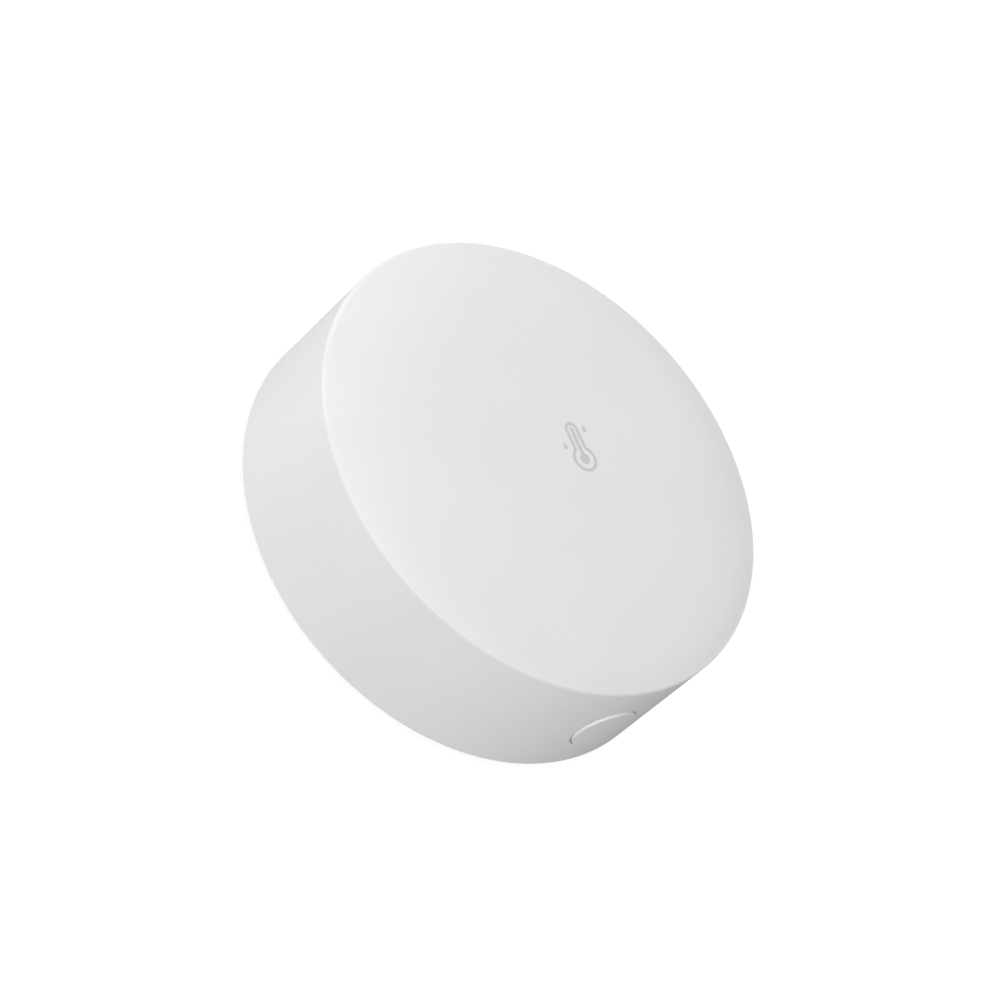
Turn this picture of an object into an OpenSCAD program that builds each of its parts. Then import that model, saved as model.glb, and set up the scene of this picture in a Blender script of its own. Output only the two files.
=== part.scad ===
// Round battery-powered temperature and humidity sensor.
// It lies on its back: z = 0 is the free face of the adhesive pad, +Z leaves the domed face,
// and the push button is at -Y, below the mark on the face.

/* [Housing] */
// Outside diameter of the puck
puck_d = 60; // [59:0.5:72]
// Height of the straight side wall
wall_h = 17.7; // [17:0.1:24]
// Rise of the domed face above its rim
dome_h = 5; // [4:0.1:8]
// Share of that rise in the face's wide crown; the rest rolls off towards the rim
crown = 0.4; // [0.2:0.05:1]
// Thickness of the side wall
wall_t = 1.8; // [1.4:0.1:2]
// Thickness of the domed face
face_t = 1.6; // [1.2:0.1:2]
// Rounding between the wall and the face
rim_r = 0.35; // [0.1:0.05:0.8]
// Rounding of the wall's rear edge
heel_r = 0.15; // [0.1:0.05:0.8]

/* [Button] */
// Diameter of the push button
button_d = 8; // [6:0.1:8.4]
// Height of the button's axis above the wall's rear edge
button_h = 8.5; // [8:0.1:10]
// Clear ring around the button
button_gap = 0.12; // [0.1:0.01:0.4]
// How far the button stands proud of the wall
button_proud = 0.37; // [0.2:0.01:0.8]
// Travel of the button
button_travel = 0.4; // [0.2:0.05:0.6]
// Width of the flange that keeps the button in
flange_w = 1; // [0.7:0.1:1]
// Thickness of that flange
flange_t = 1; // [0.8:0.1:1.4]
// Length of the collar that guides the button
collar_l = 2; // [1.6:0.1:2.4]
// Wall of the collar outside the flange
collar_t = 1; // [0.8:0.1:1.4]

/* [Vents] */
// Number of air slots opposite the button
vent_count = 5; // [3:1:7]
// Width of a slot
vent_w = 1.2; // [0.8:0.1:1.6]
// Length of a slot
vent_l = 6; // [4:0.5:7]
// Angle from slot to slot
vent_step = 5; // [4:0.5:6]
// Height of the slots' middle above the wall's rear edge
vent_h = 9.6; // [8:0.1:11]

/* [Rear cover] */
// Thickness of the cover
cover_t = 1.6; // [1.4:0.1:2]
// Clear ring around the cover
cover_gap = 0.2; // [0.15:0.05:0.3]
// Angle that unlocks the housing from the cover
twist = 20; // [20:1:24]
// Angle that one hook spans
hook_span = 18; // [12:1:18]
// Thickness of the hooks and of the lips that they catch
hook_t = 1.2; // [1:0.1:1.4]
// Width of the lips inside the wall
lip_w = 1.6; // [1.2:0.1:1.8]
// Length of a fingernail recess
nail_l = 9; // [6:0.5:12]
// Width of a fingernail recess
nail_w = 2.6; // [2:0.1:3]
// Depth of a fingernail recess
nail_deep = 0.7; // [0.4:0.1:0.9]

/* [Adhesive pad] */
// Diameter of the adhesive foam pad
pad_d = 40; // [30:1:44]
// Thickness of the pad
pad_t = 0.8; // [0.6:0.1:1.2]
// Depth of the pad's recess in the cover
pad_sink = 0.4; // [0.2:0.1:0.5]

/* [Battery] */
// Diameter of a cell
cell_d = 10.5; // [10.2:0.1:10.5]
// Length of a cell with its terminal
cell_l = 44.5; // [43:0.1:44.5]
// Diameter of the cell's positive terminal
nub_d = 3.8; // [3:0.1:3.8]
// Height of the positive terminal
nub_h = 0.8; // [0.6:0.1:1]
// Compressed length of a contact spring
spring_l = 3.2; // [3.2:0.1:3.6]
// Wire diameter of a contact spring
wire_d = 0.6; // [0.4:0.05:0.6]
// Mean diameter of the spring's wide end
spring_d = 6.4; // [5.6:0.1:6.6]
// Turns of a spring
spring_turns = 2.5; // [2:0.5:2.5]
// Thickness of the contact plates
plate_t = 0.4; // [0.3:0.05:0.5]
// Width of a contact plate
plate_w = 7; // [6:0.1:7.4]
// Height of the dimple that touches the positive terminal
dimple_h = 0.7; // [0.5:0.1:0.9]

/* [Battery tray] */
// Wall thickness of the tray
tray_t = 1.2; // [1:0.1:1.4]
// Clear room around a cell
cell_fit = 0.2; // [0.1:0.05:0.3]
// Web between the two cells
web_t = 0.8; // [0.6:0.1:1]
// Clear room between the cells and the cover
cell_lift = 0.3; // [0.2:0.1:0.6]

/* [Circuit board] */
// Thickness of the board
board_t = 1.2; // [0.8:0.1:1.6]
// Clear ring between the board and the lips
board_gap = 0.6; // [0.4:0.1:1]
// Width of the tongue that carries the sensor chip
tongue_w = 5.4; // [4:0.1:6]
// Length of that tongue
tongue_l = 6; // [5:0.1:7]
// Width of the slots beside the tongue
tongue_gap = 1; // [0.8:0.1:1.4]

/* [Screws] */
// Shank diameter of a screw
screw_d = 2; // [1.6:0.1:2.2]
// Length of a screw under its head
screw_l = 5; // [4.4:0.1:5.2]
// Head diameter
head_d = 3.8; // [3.2:0.1:4]
// Head height
head_h = 1.3; // [1:0.1:1.6]
// Diameter of the bosses in the housing
boss_d = 5.2; // [4.4:0.1:5.6]
// Angle of the bosses from the cells' direction
boss_angle = 50; // [48:1:54]

/* [Hidden] */
$fn = 96;
slide_gap = 0.15;           // between faces that slide past each other
seat_gap = 0.3;             // around pieces that only lie near each other
fit = 0.1;                  // around pins and shanks
bite = 0.3;                 // how far ribs run into the wall that carries them
past = 1;                   // how far a cutter runs past the face that it opens

puck_r = puck_d / 2;
heel_z = pad_t - pad_sink;
rim_z = heel_z + wall_h;
bore_r = puck_r - wall_t;
face_steps = 18;
arc_steps = 4;
roll_power = 8;
rim_slope = atan((2 * crown + roll_power * (1 - crown)) * dome_h / puck_r);

cover_r = bore_r - cover_gap;
cover_z = heel_z + cover_t;
cover_edge = 0.3;
lip_z = cover_z + slide_gap;
hook_z = lip_z + hook_t + slide_gap;
hook_top = hook_z + hook_t;
lip_r = bore_r - lip_w;
stem_r = lip_r - cover_gap;
hook_r = bore_r - seat_gap;
hook_lead = hook_t / 3;
hook_angles = [45, 135, 225, 315];
lip_play = 1;               // degrees of lip beyond each end of a hook
stop_span = 2.5;            // degrees of the stop behind a hook
pad_r = pad_d / 2;
nail_r = (pad_r + cover_r) / 2;

trough_r = cell_d / 2 + cell_fit;
tray_r = trough_r + tray_t;
cell_y = trough_r + web_t / 2;
cell_z = cover_z + cell_lift + cell_d / 2;
tray_rim = hook_top + slide_gap;
tray_top = cell_z + tray_r;
bay_l = cell_l + spring_l + dimple_h + 2 * plate_t;
bay_x = bay_l / 2;
tray_x = bay_x + tray_t;
tray_lim = bore_r - seat_gap;
plate_z0 = tray_rim + seat_gap;
plate_z1 = cell_z + sqrt(pow(trough_r - fit, 2) - pow(plate_w / 2, 2));
tab_w = 1.8;
tab_out = 0.6;              // how far solder tabs and pins pass the board
rail_w = 0.8;
rail_h = 0.6;
dimple_r = 2.2;

board_r = lip_r - board_gap;
board_z = tray_top;
board_front = board_z + board_t;
boss_at = board_r - boss_d / 2 + fit;
boss_angles = [boss_angle, 180 - boss_angle, 180 + boss_angle, -boss_angle];
boss_spots = [for (a = boss_angles) boss_at * [cos(a), sin(a)]];
ear_edge = 0.9;             // width of an ear around a screw's head
ear_r = head_d / 2 + ear_edge;
ear_t = tray_t;
ear_z = board_z - ear_t;
rib_t = 1;
pilot_deep = 0.8;           // room ahead of a screw's tip
drive_w = 0.5;              // width of the cross recess in a screw's head
drive_edge = 0.8;           // of the head around that recess
drive_deep = 0.6;

button_r = button_d / 2;
button_z = heel_z + button_h;
button_face = puck_r + button_proud;
flange_r = button_r + flange_w;
flange_cut = 0.6;           // depth of the flats that stop the button turning
flange_flat = flange_r - flange_cut;
collar_r = flange_r + collar_t;
collar_y = bore_r - collar_l;
flange_y = collar_y - fit;
cap_back = flange_y - flange_t;
pusher_r = 1.5;
pusher_l = 1.5;
plunger_y = cap_back - pusher_l;
plunger_r = 1.75;
plunger_out = 1.6;
plunger_in = 1;
switch_y = plunger_y - plunger_out;
switch_w = 6;
switch_t = 3.4;
sheet_t = 0.3;
pin_r = 0.3;
pin_x = 2.25;
leg_w = 1;
guide_t = 1.2;
guide_h = 6;
core_t = 0.8;               // width of the moulding groove in the button
core_deep = 3;

nub_edge = 0.2;             // bevel of a cell's positive terminal
crimp = 0.5;                // bevel at a cell's ends
base_step = 0.3;            // height of a cell's negative terminal
base_rim = 1.5;             // of the cell's end around that terminal
spring_rings = 8;           // rings of corners in a turn of a spring
spring_sides = 6;
spring_seat = 0.05;         // between a spring and what it presses on
spring_taper = 0.3;         // share of its radius that a spring loses
spring_count = spring_turns * spring_rings;
spring_rise = spring_l - wire_d - 2 * spring_seat;
spring_next = 0.75 * spring_rings;

module_size = [12, 17, 0.8];
module_at = [2, 1];
module_edge = 0.5;          // of the radio module around its shield and antenna
module_front = board_front + module_size[2];
module_side = module_size[0] / 2;
module_low = module_at[1] - module_size[1] / 2;
module_high = module_at[1] + module_size[1] / 2;
shield_size = [10.4, 10.4, 2];
shield_at = [module_at[0], module_low + module_edge + shield_size[1] / 2];
shield_t = 0.2;
radio_size = [5, 5, 0.9];
antenna_size = [6, 2, 1.2];
antenna_at = [module_at[0], module_high - module_edge - antenna_size[1] / 2];
row_gap = 2.2;              // between the radio module and the pieces beside it
row_left = module_at[0] - module_side - row_gap;
row_right = module_at[0] + module_side + row_gap;
crystal_size = [3.2, 2.5, 0.8];
crystal_at = [row_left - crystal_size[0] / 2, module_low + crystal_size[1] / 2];
foot_size = [5.2, 5.2, 0.7];
can_d = 5;
can_h = 4;
can_at = [row_left - foot_size[0] / 2, module_high - foot_size[1] / 2];
chip_step = 2;
chip_size = [1.6, 0.8, 0.8];
capacitor_at = [row_left - chip_size[0] / 2, switch_t - switch_y];
capacitor_count = 5;
resistor_size = [1.6, 0.8, 0.45];
resistor_at = [row_right + resistor_size[0] / 2, module_low];
resistor_count = 6;
sensor_size = [2.5, 2.5, 0.9];
sensor_hole_r = 0.4;
sensor_at = [0, board_r - sensor_size[1]];
led_size = [1.6, 0.8, 0.6];
led_lens_r = 0.35;
led_at = [switch_w + led_size[0], led_size[1] - switch_y];

// Height of the domed face at radius r
function face_z(r) = let(q = r / puck_r)
    rim_z + dome_h * (1 - crown * q * q - (1 - crown) * pow(q, roll_power));

// Points along the face from radius r inwards, closer near the rim, lowered by drop
function face_curve(r, drop) = [
    for (i = [0 : face_steps]) let(q = r * sqrt(1 - i / face_steps)) [q, face_z(q) - drop]
];

// Points of an arc of radius r about c, from angle a to angle b
function arc(c, r, a, b) = [
    for (i = [0 : arc_steps]) let(t = a + (b - a) * i / arc_steps) c + r * [cos(t), sin(t)]
];

// A sector of a ring of the given profile, centred on angle a
module sector(a, span) {
    rotate([0, 0, a - span / 2]) rotate_extrude(angle = span) children();
}

// The same thing at both sides of the YZ plane
module both_x() {
    children();
    mirror([1, 0, 0]) children();
}

// A cylinder along Y from y0 to y1
module along_y(r, y0, y1) {
    translate([0, y0, 0]) rotate([-90, 0, 0]) cylinder(r = r, h = y1 - y0);
}

// A box centred in X and Y that stands on z
module chip(at, size, z) {
    translate([at[0] - size[0] / 2, at[1] - size[1] / 2, z]) cube(size);
}

// The puck's solid outside, with its rounded rim and heel
module puck_outside() {
    turn_r = puck_r - rim_r;
    meet_r = turn_r + rim_r * sin(rim_slope);
    turn_z = face_z(meet_r) - rim_r * cos(rim_slope);
    rotate_extrude() polygon(concat(
        [[0, heel_z]],
        arc([puck_r - heel_r, heel_z + heel_r], heel_r, -90, 0),
        arc([turn_r, turn_z], rim_r, 0, 90 - rim_slope),
        [for (p = face_curve(meet_r, 0)) if (p[0] < meet_r) p]
    ));
}

// The room inside the wall and under the face
module puck_inside() {
    rotate_extrude() polygon(concat(
        [[0, heel_z - past], [bore_r, heel_z - past]],
        face_curve(bore_r, face_t)
    ));
}

// The inner half of the face and all below it, to end the bosses in
module under_face() {
    rotate_extrude() polygon(concat(
        [[0, board_front], [bore_r, board_front]],
        face_curve(bore_r, face_t / 2)
    ));
}

// A stop across a hook's path, from angle a onwards
module hook_stop(a) {
    sector(a + stop_span / 2, stop_span)
        translate([lip_r, lip_z]) square([bore_r + bite - lip_r, hook_top - lip_z]);
}

// The lips that the cover's hooks catch, with the stops at the locked and the open end of the twist
module lips() {
    lip_half = hook_span / 2 + lip_play;
    for (a = hook_angles) {
        sector(a, 2 * lip_half) translate([lip_r, lip_z]) square([bore_r + bite - lip_r, hook_t]);
        hook_stop(a + lip_half);
    }
    for (a = [hook_angles[1], hook_angles[3]]) hook_stop(a - twist - lip_half - stop_span);
}

// The collar around the button and the two guides that stop it turning
module button_collar() {
    translate([0, 0, button_z]) {
        along_y(collar_r, -(bore_r + bite), -collar_y);
        guide_l = fit + flange_t + button_travel + seat_gap;
        both_x() translate([flange_flat + fit, -collar_y - bite, -guide_h / 2])
            cube([guide_t, guide_l + bite, guide_h]);
    }
}

// One air slot with round ends, cut outwards from the bore
module vent_slot() {
    half = (vent_l - vent_w) / 2;
    translate([0, 0, heel_z + vent_h]) {
        translate([-vent_w / 2, bore_r - past, -half]) cube([vent_w, wall_t + 2 * past, 2 * half]);
        for (z = [-half, half]) translate([0, 0, z]) along_y(vent_w / 2, bore_r - past, puck_r + past);
    }
}

module front_housing() {
    color("white") difference() {
        union() {
            difference() {
                puck_outside();
                puck_inside();
            }
            lips();
            button_collar();
            intersection() {
                for (p = boss_spots)
                    translate([p[0], p[1], board_front]) cylinder(d = boss_d, h = wall_h);
                under_face();
            }
        }
        translate([0, 0, button_z]) along_y(button_r + button_gap, -(puck_r + past), -(collar_y - past));
        for (i = [0 : vent_count - 1]) rotate([0, 0, (i - (vent_count - 1) / 2) * vent_step]) vent_slot();
        for (p = boss_spots) translate([p[0], p[1], board_front - past])
            cylinder(d = screw_d + fit, h = past + screw_l - ear_t - board_t + pilot_deep);
    }
}

module rear_cover() {
    color("white") difference() {
        union() {
            rotate_extrude() polygon([
                [0, heel_z], [cover_r - cover_edge, heel_z], [cover_r, heel_z + cover_edge],
                [cover_r, cover_z], [0, cover_z]
            ]);
            for (a = hook_angles) sector(a, hook_span) polygon([
                [stem_r - hook_t, cover_z - bite], [stem_r, cover_z - bite], [stem_r, hook_z],
                [hook_r, hook_z], [hook_r, hook_top - hook_lead], [hook_r - hook_lead, hook_top],
                [stem_r - hook_t, hook_top]
            ]);
        }
        translate([0, 0, heel_z - past]) cylinder(r = pad_r + seat_gap, h = past + pad_sink);
        both_x() translate([nail_r, 0, heel_z - past]) {
            nail_half = (nail_l - nail_w) / 2;
            translate([-nail_w / 2, -nail_half, 0]) cube([nail_w, 2 * nail_half, past + nail_deep]);
            for (y = [-nail_half, nail_half])
                translate([0, y, 0]) cylinder(d = nail_w, h = past + nail_deep);
        }
    }
}

module adhesive_pad() {
    color("dimgray") cylinder(r = pad_r, h = pad_t);
}

module button_cap() {
    color("whitesmoke") translate([0, 0, button_z]) {
        difference() {
            union() {
                intersection() {
                    along_y(button_r, -(button_face + past), -cap_back);
                    cylinder(r = button_face, h = 2 * button_d, center = true);
                }
                intersection() {
                    along_y(flange_r, -flange_y, -cap_back);
                    translate([-flange_flat, -puck_r, -flange_r])
                        cube([2 * flange_flat, puck_r, 2 * flange_r]);
                }
            }
            difference() {
                along_y(pusher_r + core_t, -(cap_back + core_deep), -(cap_back - past));
                along_y(pusher_r, -puck_r, 0);
            }
        }
        along_y(pusher_r, -(cap_back + core_deep + bite), -plunger_y);
    }
}

// Outline across the tray: two round-topped troughs side by side, open below
module trough_outline(r) {
    for (y = [-cell_y, cell_y]) translate([y, cell_z]) {
        circle(r = r);
        translate([-r, tray_rim - cell_z]) square([2 * r, cell_z - tray_rim]);
    }
}

// A length of a YZ outline from x0 to x1
module along_x(x0, x1) {
    translate([x0, 0, 0]) rotate([90, 0, 90]) linear_extrude(x1 - x0) children();
}

// The shell of the tray: the troughs' walls between two flat ends
module tray_shell() {
    intersection() {
        difference() {
            union() {
                along_x(-tray_x, tray_x) trough_outline(tray_r);
                both_x() along_x(bay_x, tray_x)
                    translate([-cell_y, tray_rim]) square([2 * cell_y, tray_top - tray_rim]);
            }
            along_x(-bay_x, bay_x) {
                trough_outline(trough_r);
                for (y = [-cell_y, cell_y])
                    translate([y - trough_r, 0]) square([2 * trough_r, tray_rim + fit]);
            }
        }
        translate([0, 0, tray_rim]) cylinder(r = tray_lim, h = tray_top - tray_rim);
    }
}

// One ear that a screw holds, with the rib under it
module tray_ear(x, y) {
    reach = abs(y);
    rib_y = cell_y + tray_r - bite;
    mirror([0, y < 0 ? 1 : 0, 0]) {
        translate([x, reach, ear_z]) cylinder(r = ear_r, h = ear_t);
        translate([x - ear_r, cell_y, ear_z]) cube([2 * ear_r, reach - cell_y, ear_t]);
        along_x(x - rib_t / 2, x + rib_t / 2) polygon([
            [rib_y, cell_z], [rib_y, ear_z + bite], [reach - head_d / 2 - seat_gap, ear_z + bite],
            [reach - head_d / 2 - seat_gap, ear_z]
        ]);
    }
}

// The rails beside the contact plates
module plate_rails() {
    rail_at = cell_y + plate_w / 2 + fit;
    both_x() for (y = [-rail_at - rail_w, rail_at])
        translate([bay_x - rail_h, y, tray_rim]) cube([rail_h + bite, rail_w, cell_z - tray_rim]);
}

module battery_tray() {
    color("gainsboro") difference() {
        union() {
            tray_shell();
            plate_rails();
            for (p = boss_spots) tray_ear(p[0], p[1]);
        }
        translate([-bay_x, -cell_y, 0]) cube([plate_t + fit, 2 * cell_y, plate_z1 + fit]);
        for (y = [-cell_y, cell_y]) translate([bay_x - plate_t - fit, y - tab_w / 2 - fit, cell_z])
            cube([plate_t + 2 * fit, tab_w + 2 * fit, tray_r + past]);
        for (p = boss_spots) translate([p[0], p[1], ear_z - past])
            cylinder(d = screw_d + 2 * fit, h = ear_t + 2 * past);
    }
}

// The round board, cut flat where the tray's end walls are
module circuit_board() {
    tab_x = bay_x - plate_t - fit;
    color("seagreen") difference() {
        intersection() {
            translate([0, 0, board_z]) cylinder(r = board_r, h = board_t);
            translate([-tray_x, -puck_r, board_z - past]) cube([2 * tray_x, puck_d, board_t + 2 * past]);
        }
        translate([0, 0, board_z - past]) {
            cut_t = board_t + 2 * past;
            notch_w = 2 * (flange_flat + guide_t + seat_gap + fit);
            translate([-notch_w / 2, -puck_r, 0])
                cube([notch_w, puck_r - plunger_y + pusher_l / 2, cut_t]);
            both_x() translate([tongue_w / 2, board_r - tongue_l, 0]) cube([tongue_gap, puck_r, cut_t]);
            for (y = [-cell_y, cell_y])
                translate([tab_x, y - tab_w / 2 - fit, 0]) cube([puck_r, tab_w + 2 * fit, cut_t]);
            for (p = boss_spots) translate([p[0], p[1], 0]) cylinder(d = screw_d + 2 * fit, h = cut_t);
            both_x() {
                translate([pin_x, -(switch_y - switch_t / 2), 0]) cylinder(r = pin_r + fit, h = cut_t);
                translate([switch_w / 2 - fit, -(switch_y - (switch_t - leg_w) / 2) - fit, 0])
                    cube([sheet_t + 2 * fit, leg_w + 2 * fit, cut_t]);
            }
        }
    }
}

// One cell along X with its terminal's tip at the origin
module cell() {
    r = cell_d / 2;
    nub_r = nub_d / 2;
    base_r = r - base_rim;
    can_end = cell_l - base_step;
    rotate([0, -90, 0]) rotate_extrude() polygon([
        [0, 0], [nub_r - nub_edge, 0], [nub_r, nub_edge], [nub_r, nub_h], [r - crimp, nub_h],
        [r, nub_h + crimp], [r, cell_l - crimp], [r - crimp, can_end], [base_r, can_end],
        [base_r, cell_l], [0, cell_l]
    ]);
}

module battery_1() {
    color("slategray") translate([bay_x - plate_t - dimple_h, cell_y, cell_z]) cell();
}

module battery_2() {
    color("slategray") rotate([0, 0, 180])
        translate([bay_x - plate_t - dimple_h, cell_y, cell_z]) cell();
}

// A contact plate against the +X end wall, from y0 to y1
module plate(y0, y1) {
    translate([bay_x - plate_t, y0, plate_z0]) cube([plate_t, y1 - y0, plate_z1 - plate_z0]);
}

// The tab that carries a plate through the board
module solder_tab(y) {
    translate([bay_x - plate_t, y - tab_w / 2, cell_z])
        cube([plate_t, tab_w, board_front + tab_out - cell_z]);
}

// The round dimple that touches a positive terminal
module dimple(y) {
    intersection() {
        translate([bay_x - plate_t + dimple_r - dimple_h, y, cell_z]) sphere(r = dimple_r);
        translate([bay_x - plate_t - dimple_h, y - dimple_r, cell_z - dimple_r])
            cube([dimple_h + plate_t / 2, 2 * dimple_r, 2 * dimple_r]);
    }
}

module positive_contact() {
    color("silver") {
        plate(cell_y - plate_w / 2, cell_y + plate_w / 2);
        solder_tab(cell_y);
        dimple(cell_y);
    }
}

module negative_contact() {
    color("silver") {
        plate(-cell_y - plate_w / 2, -cell_y + plate_w / 2);
        solder_tab(-cell_y);
    }
}

module bridge_contact() {
    color("silver") rotate([0, 0, 180]) {
        plate(-cell_y - plate_w / 2, cell_y + plate_w / 2);
        dimple(cell_y);
    }
}

// The middle of a spring's wire at ring i
function wire_at(i) = let(
    t = i / spring_count,
    a = 360 * i / spring_rings,
    r = spring_d / 2 * (1 - spring_taper * t)
) [wire_d / 2 + spring_seat + spring_rise * t, r * cos(a), r * sin(a)];

// Corner k of the wire's section at ring i
function wire_corner(i, k) = let(
    a = 360 * i / spring_rings,
    b = 360 * k / spring_sides,
    q = wire_d / 2
) wire_at(i) + q * [sin(b), cos(b) * cos(a), cos(b) * sin(a)];

spring_self_gap = min([
    for (i = [0 : spring_count], j = [0 : spring_count])
        if (j - i > spring_next) norm(wire_at(j) - wire_at(i)) - wire_d
]);

// A conical contact spring: one wire that winds about X from the plate at x = 0 to the cell
module spring() {
    n = spring_sides;
    last = spring_count * n;
    sides = [
        for (i = [0 : spring_count - 1], k = [0 : n - 1]) let(u = i * n + k, v = i * n + (k + 1) % n)
            each [[u, u + n, v], [v, u + n, v + n]]
    ];
    polyhedron(
        points = [for (i = [0 : spring_count], k = [0 : n - 1]) wire_corner(i, k)],
        faces = concat(
            [for (k = [1 : n - 2]) [0, k, k + 1]],
            sides,
            [for (k = [1 : n - 2]) [last, last + k + 1, last + k]]
        )
    );
}

module negative_spring() {
    color("silver") translate([bay_x - plate_t, -cell_y, cell_z]) rotate([0, 0, 180]) spring();
}

module bridge_spring() {
    color("silver") translate([-(bay_x - plate_t), cell_y, cell_z]) spring();
}

module switch_body() {
    color("black") difference() {
        union() {
            translate([-switch_w / 2, -switch_y, button_z - switch_w / 2])
                cube([switch_w, switch_t, switch_w]);
            both_x() translate([pin_x, -(switch_y - switch_t / 2), button_z])
                cylinder(r = pin_r, h = board_front + tab_out - button_z);
        }
        well_deep = plunger_in + 2 * button_travel;
        translate([0, 0, button_z])
            along_y(plunger_r + fit, -(switch_y + past), -(switch_y - well_deep));
    }
}

module switch_frame() {
    color("silver") {
        difference() {
            translate([-switch_w / 2 - sheet_t, -switch_y - sheet_t, button_z - switch_w / 2])
                cube([switch_w + 2 * sheet_t, sheet_t, switch_w]);
            translate([0, 0, button_z])
                along_y(plunger_r + 2 * fit, -(switch_y + past), -(switch_y - past));
        }
        both_x() {
            translate([switch_w / 2, -switch_y - sheet_t, button_z - switch_w / 2])
                cube([sheet_t, switch_t + sheet_t, board_z - button_z + switch_w / 2]);
            translate([switch_w / 2, -(switch_y - (switch_t - leg_w) / 2), button_z])
                cube([sheet_t, leg_w, board_front + tab_out - button_z]);
        }
    }
}

module switch_plunger() {
    color("dimgray") translate([0, 0, button_z]) along_y(plunger_r, -plunger_y, -(switch_y - plunger_in));
}

module radio_module() {
    color("darkgreen") chip(module_at, module_size, board_front);
}

module radio_chip() {
    color("black") chip(shield_at, radio_size, module_front);
}

module radio_shield() {
    inner = shield_size - [2 * shield_t, 2 * shield_t, shield_t];
    color("silver") difference() {
        chip(shield_at, shield_size, module_front);
        chip(shield_at, inner + [0, 0, past], module_front - past);
    }
}

module chip_antenna() {
    color("ivory") chip(antenna_at, antenna_size, module_front);
}

module clock_crystal() {
    color("silver") chip(crystal_at, crystal_size, board_front);
}

module climate_chip() {
    low = board_z - sensor_size[2];
    color("black") difference() {
        chip(sensor_at, sensor_size, low);
        translate([sensor_at[0], sensor_at[1], low - past])
            cylinder(r = sensor_hole_r, h = past + sensor_size[2] / 2);
    }
}

module status_led() {
    low = board_z - led_size[2];
    color("ivory") {
        chip(led_at, led_size, low);
        translate([led_at[0], led_at[1], low]) sphere(r = led_lens_r);
    }
}

module buffer_capacitor() {
    color("silver") {
        chip(can_at, foot_size, board_front);
        translate([can_at[0], can_at[1], board_front]) cylinder(d = can_d, h = can_h);
    }
}

module chip_capacitors() {
    color("tan") for (i = [0 : capacitor_count - 1])
        chip(capacitor_at + [0, chip_step * i], chip_size, board_front);
}

module chip_resistors() {
    color("black") for (i = [0 : resistor_count - 1])
        chip(resistor_at + [0, chip_step * i], resistor_size, board_front);
}

module tray_screws() {
    slot = [drive_w, head_d - 2 * drive_edge, drive_deep];
    color("silver") for (p = boss_spots) translate([p[0], p[1], ear_z]) difference() {
        union() {
            translate([0, 0, -head_h]) cylinder(d = head_d, h = head_h);
            cylinder(d = screw_d, h = screw_l);
        }
        for (a = [0, 90]) rotate([0, 0, a]) chip([0, 0], slot + [0, 0, past], -head_h - past);
    }
}

echo(spring_self_gap = spring_self_gap);

front_housing();
rear_cover();
adhesive_pad();
button_cap();
battery_tray();
circuit_board();
battery_1();
battery_2();
positive_contact();
negative_contact();
bridge_contact();
negative_spring();
bridge_spring();
switch_body();
switch_frame();
switch_plunger();
radio_module();
radio_chip();
radio_shield();
chip_antenna();
clock_crystal();
climate_chip();
status_led();
buffer_capacitor();
chip_capacitors();
chip_resistors();
tray_screws();
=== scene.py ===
import math

import bmesh
import bpy
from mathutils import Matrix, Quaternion, Vector


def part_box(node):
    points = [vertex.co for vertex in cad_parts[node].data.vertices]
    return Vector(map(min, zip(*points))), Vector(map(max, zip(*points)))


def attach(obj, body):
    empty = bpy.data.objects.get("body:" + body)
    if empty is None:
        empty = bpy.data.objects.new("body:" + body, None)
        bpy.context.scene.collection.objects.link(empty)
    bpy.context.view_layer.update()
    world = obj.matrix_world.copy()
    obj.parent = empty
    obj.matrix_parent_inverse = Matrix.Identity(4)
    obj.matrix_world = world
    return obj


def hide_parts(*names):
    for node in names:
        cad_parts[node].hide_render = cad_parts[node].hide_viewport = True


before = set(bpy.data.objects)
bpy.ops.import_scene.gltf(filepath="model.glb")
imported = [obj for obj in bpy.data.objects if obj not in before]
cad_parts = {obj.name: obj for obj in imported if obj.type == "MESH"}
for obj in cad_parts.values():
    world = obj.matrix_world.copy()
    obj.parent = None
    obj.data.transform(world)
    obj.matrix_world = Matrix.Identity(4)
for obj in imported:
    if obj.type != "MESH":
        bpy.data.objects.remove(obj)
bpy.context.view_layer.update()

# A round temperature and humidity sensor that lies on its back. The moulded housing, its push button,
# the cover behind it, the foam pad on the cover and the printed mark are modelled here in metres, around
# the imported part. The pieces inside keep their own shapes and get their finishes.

MM = 0.001

# Sizes that the frame gives
shell_low, shell_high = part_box("front_housing")
PUCK_R = shell_high.x
HEEL_Z = shell_low.z
APEX_Z = shell_high.z
cap_low, cap_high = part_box("button_cap")
BUTTON_Z = (cap_low.z + cap_high.z) / 2
FLANGE_R = (cap_high.z - cap_low.z) / 2
PUSHER_TIP = -cap_high.y
COVER_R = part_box("rear_cover")[1].x
pad_low, pad_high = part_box("adhesive_pad")
PAD_R = pad_high.x
PAD_TOP = pad_high.z
CELL_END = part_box("battery_1")[1].x

# Housing
INK_T = 0.015 * MM          # the face lies this far under the box's top, which leaves room for the ink
DOME_H = 4.92 * MM
CROWN = 0.4                 # share of that rise in the face's wide crown; the rest rolls off at the rim
ROLL_POWER = 8
RIM_Z = APEX_Z - DOME_H - INK_T
WALL_T = 1.8 * MM
FACE_T = 1.6 * MM
RIM_R = 0.5 * MM
HEEL_R = 0.15 * MM
POLISH_W = 0.42 * MM        # how far hands polish the plastic on both sides of the rim
BORE_R = PUCK_R - WALL_T
HOLD = 0.06 * MM            # a ring this close to a rounding keeps its shade off the flat beside it
SIDES = 360
ROUND_STEPS = 6
DOME_RINGS = 32
INNER_RINGS = 10
TIP_R = 0.6 * MM            # radius of the last ring before a turned piece closes

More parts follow.
